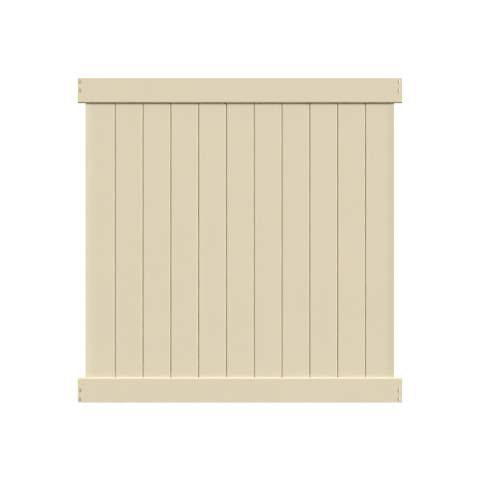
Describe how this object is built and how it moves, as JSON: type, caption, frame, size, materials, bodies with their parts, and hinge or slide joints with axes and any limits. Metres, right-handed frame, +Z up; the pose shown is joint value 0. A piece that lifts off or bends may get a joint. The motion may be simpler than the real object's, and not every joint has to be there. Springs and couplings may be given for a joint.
{
  "type": "privacy fence panel",
  "caption": "Flat vinyl privacy fence panel: upright tongue-and-groove boards held between hollow pocket rails whose tabbed ends lock into routed posts.",
  "frame": {"origin": "under the middle of the bottom rail, on its lower face, at mid-thickness", "axes": "+X along the rails, to the right seen from the front; +Y through the panel from front to back; +Z up"},
  "size_m": [1.778, 0.051, 1.778],
  "materials": {
    "rail_vinyl": "satin sand-coloured rigid vinyl",
    "board_vinyl": "satin sand-coloured rigid vinyl",
    "channel_vinyl": "satin sand-coloured rigid vinyl",
    "galvanised_steel": "dull spangled zinc"
  },
  "bodies": {
    "root": {"top_rail": "rail_vinyl", "bottom_rail": "rail_vinyl", "top_rail_stiffener": "galvanised_steel", "bottom_rail_stiffener": "galvanised_steel", "board_01": "board_vinyl", "board_02": "board_vinyl", "board_03": "board_vinyl", "board_04": "board_vinyl", "board_05": "board_vinyl", "board_06": "board_vinyl", "board_07": "board_vinyl", "board_08": "board_vinyl", "board_09": "board_vinyl", "board_10": "board_vinyl", "board_11": "board_vinyl", "left_side_channel": "channel_vinyl", "right_side_channel": "channel_vinyl"}
  },
  "joints": []
}
